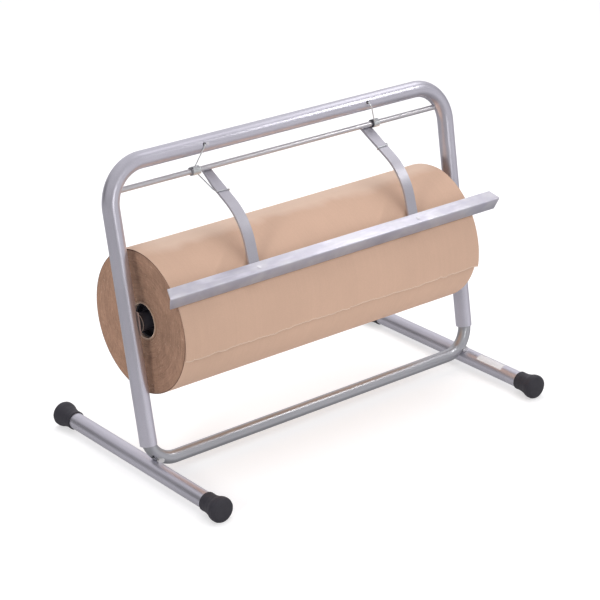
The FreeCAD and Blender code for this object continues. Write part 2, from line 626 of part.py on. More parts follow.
xl, xr_ = P["roll_left"], P["roll_left"] + P["roll_len"]
sh_ = P["core_shift"]
R_, rc = P["roll_rad"], P["roll_core_rad"]
turned("paper_roll", [(xl + sh_, rc), (xl, R_ - 1.0), (xl + 0.6, R_), (xr_ - 0.6, R_), (xr_, R_ - 1.0), (xr_ + sh_, rc)])
cl, cr_ = xl + sh_ - 0.3, xr_ + sh_ + 0.3
rb_ = P["core_bore_rad"]
turned("cardboard_core", [(cl, rb_), (cl, rc), (cr_, rc), (cr_, rb_)])
bore, nose = P["plug_bore_rad"], P["nose_rad"]
for nm, x_face, s in (("left", cl, 1), ("right", cr_, -1)):
    tip = x_face - s * (P["nose_out"] + 2.5)
    prof = [(0, bore), (0, nose - 0.6), (0.6, nose), (27.5, nose), (27.5, 26.6), (18.0, 26.6), (16.5, rb_ - 0.4),
            (16.5, rb_), (52.0, rb_ ), (53.0, rb_ - 1.0), (53.0, 25.6), (31.0, 25.6), (31.0, nose - 3.0), (50.0, nose - 3.0), (50.0, bore)]
    prof = [(tip + s * a, r) for a, r in prof]
    turned(nm + "_core_plug", prof)
rings = []
for x_face, s in ((cl, 1), (cr_, -1)):
    tip = x_face - s * (P["nose_out"] + 2.5)
    o = Part.makeCylinder(nose + 0.5, 1.2, V(tip - (1.25 if s > 0 else -0.05), AY, AZ), V(1, 0, 0))
    i_ = Part.makeCylinder(bore + 0.1, 4.0, V(tip - 2.0, AY, AZ), V(1, 0, 0))
    rings.append(o.cut(i_))
nr = doc.addObject("Part::Feature", "nose_rings")
nr.Shape = Part.makeCompound(rings)
keep(nr, "nose_rings")

# loose end of the paper: lies on the roll, passes under the bar and stands off a little lower down
g, tk_ = P["sheet_gap"], P["sheet_thk"]
ri = R_ + g
poly_in, poly_out = [], []
for k in range(0, 82):
    a = 32.0 + 2.0 * k
    if a > 194.0:
        a = 194.0
    lift = 0.0
    if a > 152.0:
        f = (a - 152.0) / 42.0
        lift = 4.4 * f * f * (3 - 2 * f) if f < 1 else 4.4
    rr_ = ri + lift
    t = math.radians(a)
    poly_in.append((AY + rr_ * math.cos(t), AZ + rr_ * math.sin(t)))
    poly_out.append((AY + (rr_ + tk_) * math.cos(t), AZ + (rr_ + tk_) * math.sin(t)))
b = new_body("loose_sheet", Placement(V(xl + P["roll_len"] / 2, 0, 0), Rotation()))
sk = new_sketch(b, "sheet_side", "YZ_Plane")
loop = poly_in + poly_out[::-1]
path(sk, [("L", loop[i], loop[(i + 1) % len(loop)]) for i in range(len(loop))], close=True)
pad(b, sk, "sheet_pad", P["roll_len"], "dims.roll_len", mid=True)
keep(b, "loose_sheet")

# ------------------------------------------------------------------ checks and export
doc.recompute()
bad = []
for o in doc.Objects:
    if "Invalid" in o.State or "Error" in o.State:
        bad.append((o.Name, o.State))
if bad:
    raise RuntimeError("bad objects: %s" % bad)
box = None
for name, o in kept:
    s = o.Shape
    if s.isNull() or not s.isValid() or not s.Solids:
        raise RuntimeError("bad shape " + name)
    s.exportStep("parts/%s.step" % name)
    bb = s.BoundBox
    box = bb if box is None else box.united(bb)
    print("%-18s solids %d vol %10.1f  x %.1f..%.1f y %.1f..%.1f z %.1f..%.1f" % (
        name, len(s.Solids), s.Volume, bb.XMin, bb.XMax, bb.YMin, bb.YMax, bb.ZMin, bb.ZMax))
print("all", box)
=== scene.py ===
import bpy, bmesh, math
import numpy as np
from mathutils import Vector, Matrix, noise

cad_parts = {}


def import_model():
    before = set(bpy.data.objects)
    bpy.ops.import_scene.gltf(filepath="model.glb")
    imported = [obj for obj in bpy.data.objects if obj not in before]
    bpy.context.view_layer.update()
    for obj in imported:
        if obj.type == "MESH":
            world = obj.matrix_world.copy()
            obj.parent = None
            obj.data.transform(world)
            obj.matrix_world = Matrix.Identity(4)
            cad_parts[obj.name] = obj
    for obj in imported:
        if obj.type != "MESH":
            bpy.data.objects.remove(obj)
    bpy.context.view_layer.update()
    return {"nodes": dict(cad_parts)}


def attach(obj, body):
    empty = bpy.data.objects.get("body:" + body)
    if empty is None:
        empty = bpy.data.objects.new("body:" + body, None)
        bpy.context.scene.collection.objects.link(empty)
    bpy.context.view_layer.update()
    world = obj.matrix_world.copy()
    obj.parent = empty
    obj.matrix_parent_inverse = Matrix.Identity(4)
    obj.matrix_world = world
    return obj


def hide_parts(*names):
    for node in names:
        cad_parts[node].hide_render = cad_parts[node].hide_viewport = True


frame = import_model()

NODES = frame["nodes"]
MM = 0.001
rng = np.random.default_rng(62)

# ------------------------------------------------------------------ dimensions, mm
AY, AZ = 12.5, 251.0            # roll axis
RY, RZ = 42.6, 463.5            # pivot rod axis
R_ROLL, R_CORE = 117.3, 32.0
XL, XR = -319.0, 301.0
SHIFT = 6.5
FOOT_X, FOOT_Z = 340.1, 20.5
LEAN = math.radians(10.52)
UY, UZ = math.sin(LEAN), math.cos(LEAN)
NY, NZ = -math.cos(LEAN), math.sin(LEAN)
PY, PZ = -42.7, 20.5


def plane_pt(x, s, n=0.0):
    return (x, PY + s * UY + n * NY, PZ + s * UZ + n * NZ)


# ------------------------------------------------------------------ materials
def mat(name, color, rough=0.5, metal=0.0, **sockets):
    m = bpy.data.materials.new(name)
    m.use_nodes = True
    b = m.node_tree.nodes["Principled BSDF"]
    b.inputs["Base Color"].default_value = (*color, 1)
    b.inputs["Roughness"].default_value = rough
    b.inputs["Metallic"].default_value = metal
    for k, v in sockets.items():
        b.inputs[k.replace("_", " ")].default_value = v
    return m


class N:
    """Small helper for building node graphs."""

    def __init__(self, m):
        self.t = m.node_tree
        self.b = self.t.nodes["Principled BSDF"]

    def new(self, kind, **props):
        n = self.t.nodes.new("ShaderNode" + kind)
        for k, v in props.items():
            setattr(n, k, v)
        return n

    def link(self, a, b):
        self.t.links.new(a, b)

    def coord(self):
        if not hasattr(self, "_c"):
            self._c = self.new("TexCoord").outputs["Object"]
        return self._c

    def mapping(self, scale=(1, 1, 1), loc=(0, 0, 0), rot=(0, 0, 0), src=None):
        n = self.new("Mapping")
        n.inputs["Scale"].default_value = scale
        n.inputs["Location"].default_value = loc
        n.inputs["Rotation"].default_value = rot
        self.link(src or self.coord(), n.inputs["Vector"])
        return n.outputs["Vector"]

    def noise(self, scale, detail=3, rough=0.5, src=None, dist=0.0):
        n = self.new("TexNoise")
        n.inputs["Scale"].default_value = scale
        n.inputs["Detail"].default_value = detail
        n.inputs["Roughness"].default_value = rough
        n.inputs["Distortion"].default_value = dist
        self.link(src or self.coord(), n.inputs["Vector"])
        return n.outputs["Fac"]

    def ramp(self, fac, stops):
        n = self.new("ValToRGB")
        el = n.color_ramp.elements
        while len(el) < len(stops):
            el.new(0.5)
        for e, (p, c) in zip(el, stops):
            e.position = p
            e.color = (*c, 1) if len(c) == 3 else c
        self.link(fac, n.inputs["Fac"])
        return n.outputs["Color"]

    def fmap(self, fac, a, b, c, d, clamp=True):
        n = self.new("MapRange")
        n.clamp = clamp
        n.inputs["From Min"].default_value = a
        n.inputs["From Max"].default_value = b
        n.inputs["To Min"].default_value = c
        n.inputs["To Max"].default_value = d
        self.link(fac, n.inputs["Value"])
        return n.outputs["Result"]

    def math(self, op, a, b=None):
        n = self.new("Math", operation=op)
        for i, v in enumerate((a, b)):
            if v is None:
                continue
            if isinstance(v, (int, float)):
                n.inputs[i].default_value = v
            else:
                self.link(v, n.inputs[i])
        return n.outputs["Value"]

    def mix(self, fac, a, b, blend="MIX"):
        n = self.new("Mix", data_type="RGBA", blend_type=blend)
        if isinstance(fac, (int, float)):
            n.inputs["Factor"].default_value = fac
        else:
            self.link(fac, n.inputs["Factor"])
        for key, v in (("A", a), ("B", b)):
            s = [i for i in n.inputs if i.name == key and i.type == "RGBA"][0]
            if isinstance(v, tuple):
                s.default_value = (*v, 1) if len(v) == 3 else v
            else:
                self.link(v, s)
        return [o for o in n.outputs if o.type == "RGBA"][0]

    def bump(self, height, strength=0.3, dist=0.001, normal=None):
        n = self.new("Bump")
        n.inputs["Strength"].default_value = strength
        n.inputs["Distance"].default_value = dist
        self.link(height, n.inputs["Height"])
        if normal:
            self.link(normal, n.inputs["Normal"])
        self.link(n.outputs["Normal"], self.b.inputs["Normal"])
        return n.outputs["Normal"]

    def near(self, centre, radius, soft):
        """1 inside a sphere round centre (metres), 0 outside."""
        n = self.new("VectorMath", operation="DISTANCE")
        self.link(self.coord(), n.inputs[0])
        n.inputs[1].default_value = centre
        return self.fmap(n.outputs["Value"], radius, radius + soft, 1.0, 0.0)


# silver-grey satin paint
def paint(name, base, rough=0.36, metal=0.72, wear_and_shade=(), hole_shade=()):
    m = mat(name, base, rough, metal)
    g = N(m)
    big = g.noise(7, 3, 0.55)
    fine = g.noise(900, 2, 0.6)
    tone = g.fmap(big, 0.35, 0.7, 0.94, 1.05)
    flake = g.fmap(fine, 0.3, 0.7, 0.95, 1.05)
    both = g.math("MULTIPLY", tone, flake)
    # painted light: the frame paint is lighter low down, towards the floor
    if name == "frame_paint":
        sz = g.new("SeparateXYZ")
        g.link(g.coord(), sz.inputs[0])
        both = g.math("MULTIPLY", both, g.fmap(sz.outputs["Z"], 0.10, 0.30, 1.11, 1.0))
    col = g.new("HueSaturation")
    col.inputs["Color"].default_value = (*base, 1)
    g.link(both, col.inputs["Value"])
    out = col.outputs["Color"]
    rr = g.fmap(big, 0.3, 0.7, rough - 0.03, rough + 0.05)
    # each spot is either a light scuff (wear) or a dark spot of painted shade
    for centre, rad, soft, tint in wear_and_shade:
        edge = g.noise(260, 3, 0.6)
        mask = g.near(centre, rad, soft)
        mask = g.math("MULTIPLY", mask, g.fmap(edge, 0.38, 0.56, 0.0, 1.0))
        out = g.mix(mask, out, tint)
    # painted shade: a dark disc round each spring hole stands in for the shadow in the hole
    for centre in hole_shade:
        out = g.mix(g.near(centre, 0.0025, 0.0007), out, (0.02, 0.02, 0.022))
    g.link(out, g.b.inputs["Base Color"])
    g.link(rr, g.b.inputs["Roughness"])
    g.bump(g.noise(420, 2, 0.5), 0.05, 0.0006)
    return m


scuff_l = plane_pt(-164.6, 491.5, 14)
# frame paint: a light scuff near the left spring hole (wear), and painted shade round both spring holes
M_FRAME = paint("frame_paint", (0.69, 0.68, 0.745), 0.30, 0.88,
                wear_and_shade=[(tuple(v * MM for v in scuff_l), 0.0022, 0.0026, (0.86, 0.85, 0.86))],
                hole_shade=[tuple(v * MM for v in plane_pt(x, 492.0, 13.6)) for x in (-171.0, 169.2)])
# painted shade: a dark spot in the gap at the left weld tab, where the rail meets the foot
M_RAIL = paint("rail_paint", (0.53, 0.54, 0.56), 0.30, 0.88,
               wear_and_shade=[((-0.3430, -0.0440, 0.0420), 0.0046, 0.0014, (0.045, 0.045, 0.05))])
M_RIVET = mat("rivet_paint", (0.84, 0.83, 0.87), 0.50, 0.35)
M_CUT = paint("cutter_paint", (0.70, 0.69, 0.74), 0.31, 0.88)
M_ARM = paint("arm_paint", (0.555, 0.545, 0.59), 0.40, 0.85)


def bar_material():
    """Tear bar: blotchy paint on the upper flange, and painted shade darkening the front face towards the lower edge.
    """
    m = mat("bar_paint", (0.7, 0.69, 0.74), 0.31, 0.88)
    g = N(m)
    sep = g.new("SeparateXYZ")
    g.link(g.coord(), sep.inputs[0])
    # painted shade: the front face darkens towards the lower edge
    face = g.fmap(sep.outputs["Z"], 0.3115, 0.3290, 0.92, 1.20)
    upper = g.fmap(sep.outputs["Z"], 0.3304, 0.3314, 0.0, 1.0)
    low = g.math("ADD", g.math("MULTIPLY", face, g.math("SUBTRACT", 1.0, upper)), g.math("MULTIPLY", upper, 1.0))
    patch = g.noise(26, 2, 0.5, g.mapping((1.0, 1.6, 1.6)))
    small = g.noise(120, 2, 0.5)
    v = g.math("MULTIPLY", low, g.fmap(patch, 0.32, 0.68, 0.94, 1.10))
    smear = g.noise(1.0, 2, 0.5, g.mapping((17, 70, 70), (0.3, 0, 0)))
    v = g.math("MULTIPLY", v, g.math("ADD", 1.0, g.math("MULTIPLY", upper, g.fmap(smear, 0.52, 0.66, 0.0, 0.16))))
    v = g.math("MULTIPLY", v, g.fmap(small, 0.3, 0.7, 0.985, 1.015))
    tint = g.mix(g.fmap(patch, 0.40, 0.62, 0.0, 1.0), (0.70, 0.685, 0.765), (0.71, 0.70, 0.745))
    col = g.new("HueSaturation")
    g.link(tint, col.inputs["Color"])
    g.link(v, col.inputs["Value"])
    g.link(col.outputs["Color"], g.b.inputs["Base Color"])
    g.link(g.fmap(patch, 0.3, 0.7, 0.28, 0.34), g.b.inputs["Roughness"])
    return m


M_BAR = bar_material()
M_ROD = mat("rod_steel", (0.70, 0.69, 0.70), 0.34, 0.92)
M_BRIGHT = mat("bright_steel", (0.86, 0.86, 0.84), 0.30, 0.95)
M_ZINC = mat("zinc_wire", (0.72, 0.745, 0.75), 0.30, 0.92)
M_COIL = mat("zinc_coil", (0.86, 0.89, 0.885), 0.38, 0.85)
M_RING = mat("ring_dark", (0.075, 0.075, 0.085), 0.42, 0.4)
M_RING_L = mat("ring_grey", (0.30, 0.30, 0.32), 0.42, 0.6)
M_RUB = mat("black_rubber", (0.027, 0.0255, 0.033), 0.50, 0.0)
g = N(M_RUB)
g.link(g.fmap(g.noise(60, 4, 0.6), 0.3, 0.7, 0.42, 0.62), g.b.inputs["Roughness"])
g.bump(g.noise(700, 3, 0.6), 0.10, 0.0008)
M_PLAST = mat("black_plastic", (0.026, 0.025, 0.032), 0.40, 0.0)
M_NOSE = mat("nose_plastic", (0.075, 0.075, 0.085), 0.45, 0.0)
M_BOARD = mat("core_board", (0.33, 0.215, 0.15), 0.85, 0.0)
g = N(M_BOARD)
sep = g.new("SeparateXYZ")
g.link(g.mapping((1, 1, 1), (0, -AY * MM, -AZ * MM)), sep.inputs[0])
rr = g.math("SQRT", g.math("ADD", g.math("MULTIPLY", sep.outputs["Y"], sep.outputs["Y"]),
                           g.math("MULTIPLY", sep.outputs["Z"], sep.outputs["Z"])))
g.link(g.ramp(g.fmap(rr, 0.0283, 0.0320, 0.0, 1.0), [(0.0, (0.50, 0.38, 0.30)), (0.28, (0.46, 0.34, 0.26)), (0.45, (0.30, 0.19, 0.13)), (1.0, (0.36, 0.235, 0.165))]),
       g.b.inputs["Base Color"])
M_STICK = mat("sticker_paper", (0.78, 0.78, 0.79), 0.45, 0.0)


# kraft paper: fine fibres, faint mottling
def paper(name, base, scuffs=True):
    m = mat(name, base, 0.78, 0.0)
    g = N(m)
    cloud = g.noise(9, 4, 0.6)
    band = g.noise(1.0, 3, 0.6, g.mapping((260, 6, 6)))
    fib = g.noise(1.0, 3, 0.65, g.mapping((520, 900, 900)))
    v = g.math("MULTIPLY", g.fmap(cloud, 0.3, 0.7, 0.965, 1.03), g.fmap(band, 0.3, 0.7, 0.985, 1.015))
    v = g.math("MULTIPLY", v, g.fmap(fib, 0.25, 0.75, 0.955, 1.045))
    sx = g.new("SeparateXYZ")
    g.link(g.coord(), sx.inputs[0])
    # painted shade: the paper darkens a little towards the left end
    v = g.math("MULTIPLY", v, g.fmap(sx.outputs["X"], -0.32, 0.04, 0.90, 1.0))
    col = g.new("HueSaturation")
    col.inputs["Color"].default_value = (*base, 1)
    g.link(v, col.inputs["Value"])
    g.link(col.outputs["Color"], g.b.inputs["Base Color"])
    g.bump(fib, 0.10, 0.0005)
    g.b.inputs["Specular IOR Level"].default_value = 0.25
    return m


PAPER = (0.615, 0.415, 0.305)
M_PAPER = paper("kraft", PAPER)


def end_material():
    """Cut ends of the rolled layers: fine rings, darker gaps, a rough brown face."""
    m = mat("kraft_end", (0.3, 0.18, 0.12), 0.9, 0.0)
    g = N(m)
    sep = g.new("SeparateXYZ")
    g.link(g.mapping((1, 1, 1), (0, -AY * MM, -AZ * MM)), sep.inputs[0])
    y, z = sep.outputs["Y"], sep.outputs["Z"]
    r = g.math("SQRT", g.math("ADD", g.math("MULTIPLY", y, y), g.math("MULTIPLY", z, z)))

    def polar(k, scale, detail=2, rough=0.6):
        """Noise that is drawn out along the rings."""
        c = g.new("CombineXYZ")
        g.link(g.math("MULTIPLY", g.math("DIVIDE", y, r), k), c.inputs[0])
        g.link(g.math("MULTIPLY", g.math("DIVIDE", z, r), k), c.inputs[1])
        g.link(g.math("MULTIPLY", r, scale), c.inputs[2])
        return g.noise(1.0, detail, rough, src=c.outputs[0])

    fine = polar(3.5, 1900, 2, 0.7)
    mid = polar(2.2, 330, 3, 0.7)
    scratch = polar(9.0, 900, 2, 0.5)
    cloud = g.noise(24, 4, 0.7)
    grain = g.noise(700, 2, 0.6)
    v = g.math("MULTIPLY", g.fmap(fine, 0.3, 0.7, 0.88, 1.09), g.fmap(mid, 0.3, 0.7, 0.90, 1.08))
    v = g.math("MULTIPLY", v, g.fmap(cloud, 0.3, 0.7, 0.80, 1.20))
    v = g.math("MULTIPLY", v, g.fmap(grain, 0.3, 0.7, 0.90, 1.10))
    streak = g.noise(1.0, 3, 0.65, g.mapping((1, 420, 60)))
    v = g.math("MULTIPLY", v, g.fmap(streak, 0.3, 0.7, 0.90, 1.09))
    # painted shade: the front side (low y) is darker than the rear
    v = g.math("MULTIPLY", v, g.fmap(y, -0.060, 0.060, 0.92, 1.02))
    col = g.new("HueSaturation")
    col.inputs["Color"].default_value = (0.335, 0.203, 0.142, 1)
    g.link(v, col.inputs["Value"])
    # pale torn fibres, mostly near the rim and low down
    fib = g.math("MULTIPLY", g.fmap(scratch, 0.66, 0.72, 0.0, 0.75), g.fmap(g.noise(17, 2, 0.5), 0.46, 0.60, 0.0, 1.0))
    out = g.mix(fib, col.outputs["Color"], (0.60, 0.44, 0.34))
    # short pale tears around the core
    tear = g.noise(1.0, 2, 0.6, g.mapping((1, 60, 900)))
    tear = g.math("MULTIPLY", g.fmap(tear, 0.60, 0.68, 0.0, 0.55), g.fmap(r, 0.033, 0.052, 1.0, 0.0))
    out = g.mix(tear, out, (0.60, 0.45, 0.35))
    # painted shade: a dark band in the gap right under the loose sheet's edge
    rim = g.fmap(r, 0.1155, 0.1164, 0.0, 0.80)
    out = g.mix(rim, out, (0.075, 0.045, 0.035))
    g.link(out, g.b.inputs["Base Color"])
    g.bump(g.math("ADD", fine, g.math("MULTIPLY", mid, 1.5)), 0.55, 0.0010)
    g.b.inputs["Specular IOR Level"].default_value = 0.1
    return m


def sheet_material():
    """The loose sheet: painted light over the top behind a soft ridge, painted shade where the bar and the arms press
    on it.
    """
    m = paper("kraft_loose", PAPER)
    g = N(m)
    src = g.b.inputs["Base Color"].links[0].from_socket
    sep = g.new("SeparateXYZ")
    g.link(g.mapping((1, 1, 1), (0, -AY * MM, -AZ * MM)), sep.inputs[0])
    x, y, z = sep.outputs["X"], sep.outputs["Y"], sep.outputs["Z"]
    # painted light: a paler band over the top behind the ridge, fading out towards the left end
    wav = g.fmap(g.noise(1.0, 3, 0.6, g.mapping((11, 5, 5))), 0.3, 0.7, -0.13, 0.13)
    ang = g.math("ADD", g.math("ARCTAN2", z, y), wav)
    pale = g.fmap(ang, math.radians(91), math.radians(103), 1.0, 0.0)
    pale = g.math("MULTIPLY", pale, g.fmap(ang, math.radians(50), math.radians(75), 1.35, 1.0))
    pale = g.math("MULTIPLY", pale, g.fmap(z, 0.0, 0.01, 0.0, 1.0))
    pale = g.math("MULTIPLY", pale, g.fmap(ang, math.radians(41), math.radians(59), 0.0, 1.0))
    soft = g.fmap(x, -0.315, -0.27, 0.35, 1.0)
    out = g.mix(g.math("MULTIPLY", g.math("MULTIPLY", pale, soft), 0.36), src, (0.80, 0.66, 0.55))
    # thin shadow line where the bar's lower edge presses
    n = g.new("VectorMath", operation="DISTANCE")
    c = g.new("CombineXYZ")
    g.link(g.math("ADD", y, AY * MM), c.inputs[1])
    g.link(g.math("ADD", z, AZ * MM), c.inputs[2])
    g.link(c.outputs[0], n.inputs[0])
    n.inputs[1].default_value = (0.0, LOW_Y * MM, LOW_Z * MM)
    line = g.fmap(n.outputs["Value"], 0.0012, 0.0050, 0.22, 0.0)
    out = g.mix(line, out, (0.20, 0.12, 0.09))
    # painted shade: dark soft spots on the sheet just beside the ends of the arms
    for cx, ca in ((-177.5, 146.5), (160.0, 146.5)):
        a = math.radians(ca)
        cc = (cx * MM, (AY + 118 * math.cos(a)) * MM, (AZ + 118 * math.sin(a)) * MM)
        d = g.new("VectorMath", operation="DISTANCE")
        g.link(g.coord(), d.inputs[0])
        d.inputs[1].default_value = cc
        k = g.fmap(d.outputs["Value"], 0.003, 0.024, 0.26, 0.0)
        out = g.mix(k, out, (0.30, 0.18, 0.115))
    g.link(out, g.b.inputs["Base Color"])
    return m


RIDGE_Y, RIDGE_Z = -99.2, 330.9
LOW_Y, LOW_Z = RIDGE_Y + 22 * math.sin(math.radians(21)), RIDGE_Z - 22 * math.cos(math.radians(21))
M_END = end_material()
M_SHEET = sheet_material()
M_TORN = paper("kraft_torn", (0.70, 0.53, 0.41))

for names, m in ((("upper_hoop", "left_foot_tube", "right_foot_tube"), M_FRAME), (("lower_u_rail",), M_RAIL),
                 (("left_front_cap", "left_rear_cap", "right_front_cap", "right_rear_cap"), M_RUB),
                 (("rod_rings",), M_RING),
                 (("left_weld_tab", "right_weld_tab"), M_BRIGHT),
                 (("left_cradle", "right_cradle"), M_CUT), (("arm_rivets",), M_RIVET), (("cutter_bar",), M_BAR),
                 (("left_arm", "right_arm"), M_ARM), (("left_spring_coil", "right_spring_coil"), M_COIL),
                 (("left_spring_leg", "right_spring_leg", "nose_rings"), M_ZINC),
                 (("foot_sticker",), M_STICK), (("pivot_rod", "axle_rod"), M_ROD),
                 (("cardboard_core",), M_BOARD), (("left_core_plug", "right_core_plug"), M_PLAST),
                 (("paper_roll", "loose_sheet"), M_PAPER)):
    for n in names:
        o = NODES[n]
        o.data.materials.clear()
        o.data.materials.append(m)
        o.data.polygons.foreach_set("use_smooth", [True] * len(o.data.polygons))

# the left ring is lighter than the right one; the nose rings have a dark face and a bright edge
me = NODES["rod_rings"].data
me.materials.append(M_RING_L)
me.polygons.foreach_set("material_index", [1 if p.center.x < 0 else 0 for p in me.polygons])
me = NODES["nose_rings"].data
me.materials.append(M_NOSE)
me.polygons.foreach_set("material_index", [1 if abs(p.normal.x) > 0.6 and
                        math.hypot(p.center.y - AY * MM, p.center.z - AZ * MM) < 0.0155 else 0 for p in me.polygons])


# ------------------------------------------------------------------ mesh helpers
def obj(name, verts, faces, material, smooth=True):
    me = bpy.data.meshes.new(name)
    me.from_pydata([tuple(np.asarray(v) * MM) for v in verts], [], faces)
    me.update()
    o = bpy.data.objects.new(name, me)
    bpy.context.scene.collection.objects.link(o)
    if material:
        me.materials.append(material)
    if smooth:
        me.polygons.foreach_set("use_smooth", [True] * len(me.polygons))
    return o


def grid_faces(nu, nv, wrap_v=True, off=0, flip=False):
    """Quads between nu rows of nv points."""
    f = []
    for i in range(nu - 1):
        for j in range(nv if wrap_v else nv - 1):
            a = off + i * nv + j
            b = off + i * nv + (j + 1) % nv
            q = (a, b, b + nv, a + nv)
            f.append(q[::-1] if flip else q)
    return f


# ------------------------------------------------------------------ the paper roll
def smooth_noise(n, count, seed, octaves=3):
    """Periodic smooth 1-D noise with n samples."""
    r = np.random.default_rng(seed)
    t = np.arange(n) / n * 2 * np.pi
    v = np.zeros(n)
    for k in range(1, count + 1):
        v += (r.normal() * np.cos(k * t) + r.normal() * np.sin(k * t)) / k ** 0.9
    return v / np.abs(v).max()


def make_roll():
    NV = 256
    ang = np.arange(NV) / NV * 2 * np.pi
    radii = np.concatenate([np.linspace(R_CORE + 0.05, 115.2, 112), [115.9, 116.3, 116.7, 117.0, 117.2]])
    n = len(radii)
    # the left end has slipped outwards a little at the rear and underneath
    slip = (0.5 + 0.5 * np.cos(ang + math.radians(38.0))) ** 1.2 * 4.6

    def end(side, seed):
        r = np.random.default_rng(seed)
        layer = r.normal(size=n) * 0.22
        for k in range(3, n, 7 + seed):
            layer[k:k + 2] -= 0.55
        low = np.interp(np.arange(n), np.linspace(0, n - 1, 11), r.normal(size=11)) * 0.6
        out = []
        wob = [smooth_noise(NV, 5, seed + 31 * k) for k in range(6)]
        for i, rad in enumerate(radii):
            f = 1 - (rad - R_CORE) / (R_ROLL - R_CORE)
            dish = SHIFT * f
            k = i / (n - 1) * 4.999
            w = wob[int(k)] * (1 - k % 1) + wob[int(k) + 1] * (k % 1)
            x = (XL + dish) if side < 0 else (XR + dish)
            inward = layer[i] * 0.55 + low[i] * 0.7 + 0.5
            if rad > 116.0:
                inward = max(inward, 1.0)
            x = x - side * (inward + w * 0.5)
            if side < 0:
                x = x - slip * (1 - f) ** 0.7
            out.append((x * np.ones(NV), np.full(NV, rad)))
        return out

    left = end(-1, 5)
    right = end(1, 6)
    rows = list(left)
    edge = smooth_noise(NV, 7, 77) * 0.05
    for x, k in ((XL + 1.6, 1.0), (XL + 3, 0.98), (XL + 30, 0.45), (XL + 60, 0.0), (XL + 160, 0.0), (0, 0.0),
                 (XR - 160, 0.0), (XR - 60, 0.0), (XR - 3, 0.0), (XR - 1.6, 0.0)):
        rows.append((x - slip * k, np.full(NV, R_ROLL) + edge))
    rows += right[::-1]
    verts = []
    for x, r in rows:
        for j in range(NV):
            verts.append((x[j], AY + r[j] * math.cos(ang[j]), AZ + r[j] * math.sin(ang[j])))
    faces = grid_faces(len(rows), NV)
    # close the bore
    m = len(rows) - 1
    for j in range(NV):
        a, b = j, (j + 1) % NV
        faces.append((m * NV + a, m * NV + b, b, a))
    o = obj("roll_of_paper", verts, faces, M_PAPER)
    o.data.materials.append(M_END)
    nl = len(left)
    idx = []
    for i in range(len(rows) - 1):
        idx += [0 if nl - 1 <= i < len(rows) - nl else 1] * NV
    idx += [0] * NV
    o.data.polygons.foreach_set("material_index", idx)
    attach(o, "roll")
    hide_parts("paper_roll")
    return o


make_roll()


# ------------------------------------------------------------------ loose sheet: over the top, under the bar, torn edge in front
def make_sheet():
    nx, na = 373, 190
    xs = np.linspace(XL - 0.4, XR + 0.3, nx)
    r = np.random.default_rng(3)
    t = np.clip((xs - XL) / (XR - XL), 0.0, 1.0)
    # torn lower edge: long waves and fine fibres
    edge = 194.7 + 0.35 * np.sin(t * 9.0 + 0.6) + 0.25 * np.sin(t * 23.0 + 2.0) + 0.22 * np.sin(t * 51.0)
    edge += np.convolve(r.normal(size=nx + 6), np.ones(7) / 7, "valid") * 1.05 + r.normal(size=nx) * 0.20
    a_start = 32.0
    th = 0.16
    top, bot = [], []
    for j in range(na):
        v = j / (na - 1)
        v = v * (1.0 - 0.004 * (v > 0.99))
        for i, x in enumerate(xs):
            a0, a1 = a_start, edge[i]
            a = a0 + (a1 - a0) * v
            rad = R_ROLL + 0.10
            rise = min(1.0, max(0.0, (a - a0 - 2.0) / 26.0))
            rise = rise * rise * (3 - 2 * rise)
            fall = min(1.0, max(0.0, (150.0 - a) / 50.0))
            fall = fall * fall * (3 - 2 * fall)
            # it lies a little loose over the top, most of all at the right end
            rad += rise * fall * (0.25 + 1.9 * t[i] ** 2.2 + 0.5 * math.exp(-((t[i] - 0.02) / 0.06) ** 2))
            # soft ridge along the top
            ar = 100.0 + 3.5 * math.sin(t[i] * 5.0 + 0.8) + 1.5 * math.sin(t[i] * 13.0)
            rad += 0.9 * min(1.0, 8.0 * t[i]) * math.exp(-abs(a - ar) / 9.0) * rise
            # soft creases beside the ends of the arms
            for xc, ac, w, h, tilt in ((-188.0, 139.0, 8.5, 1.9, 1.2), (-212.0, 126.0, 8.0, 1.0, 1.2), (149.0, 138.0, 8.0, 1.6, 1.2), (128.0, 125.0, 8.0, 0.9, 1.2)):
                da = (a - ac)
                dx = (x - xc) + tilt * da * 2.0
                rad += h * math.exp(-(dx / w) ** 2 - (da / 11.0) ** 2)
            if a > 153.0:
                f = min(1.0, (a - 153.0) / 42.0)
                lift = 4.3 * f ** 1.6
                wave = 1.0 + 0.12 * math.sin(t[i] * 7.0 + 1.0) + 0.07 * math.sin(t[i] * 17.0)
                lift *= wave * (0.80 + 0.30 * t[i])
                lift += 0.30 * f * f * math.sin(t[i] * 37.0 + v * 4.0)
                # the right corner is folded a little
                c = math.exp(-((t[i] - 1.0) / 0.035) ** 2) * f * f
                lift += 1.4 * c
                rad += max(0.0, lift)
            aa = math.radians(a)
            top.append((x, AY + (rad + th) * math.cos(aa), AZ + (rad + th) * math.sin(aa)))
            bot.append((x, AY + rad * math.cos(aa), AZ + rad * math.sin(aa)))
    n = len(top)
    f = grid_faces(na, nx, wrap_v=False, flip=True) + grid_faces(na, nx, wrap_v=False, off=n)
    torn = [1 if k // (nx - 1) >= na - 2 else 0 for k in range((na - 1) * (nx - 1))] * 2
    for i in range(nx - 1):
        f.append((i, i + 1, n + i + 1, n + i)[::-1])
        a = (na - 1) * nx + i
        f.append((a, a + 1, n + a + 1, n + a))
        torn += [0, 1]
    for j in range(na - 1):
        a = j * nx
        f.append((a, a + nx, n + a + nx, n + a))
        b = a + nx - 1
        f.append((b, b + nx, n + b + nx, n + b)[::-1])
        torn += [0, 0]
    o = obj("loose_paper", top + bot, f, M_SHEET)
    o.data.materials.append(M_TORN)
    o.data.polygons.foreach_set("material_index", torn)
    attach(o, "spindle")
    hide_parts("loose_sheet")
    return o


make_sheet()

